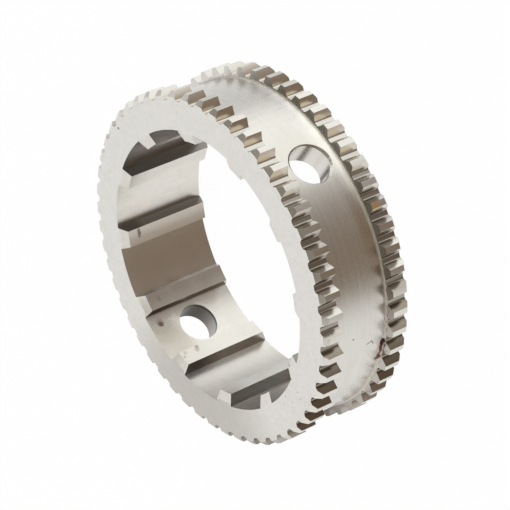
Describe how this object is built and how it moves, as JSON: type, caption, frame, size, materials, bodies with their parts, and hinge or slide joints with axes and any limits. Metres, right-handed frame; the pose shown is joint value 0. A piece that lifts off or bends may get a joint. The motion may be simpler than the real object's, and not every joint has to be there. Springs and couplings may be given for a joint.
{
  "type": "splined coupling sleeve",
  "caption": "Steel shift sleeve: a ring with wide parallel splines in its bore, a row of short pointed teeth round each end, a fork groove between them and cross-drilled holes in the groove.",
  "frame": {"origin": "centre of the bore on the rear face, which the sleeve stands on", "axes": "+Z along the bore's axis, from the rear face to the front face; +X through one of the two cross holes"},
  "size_m": [0.1126, 0.1126, 0.0322],
  "materials": {
    "machined_steel": "satin machined steel with fine turning lines, a few rust and oil spots"
  },
  "bodies": {
    "root": {"coupling_sleeve": "machined_steel"}
  },
  "joints": []
}
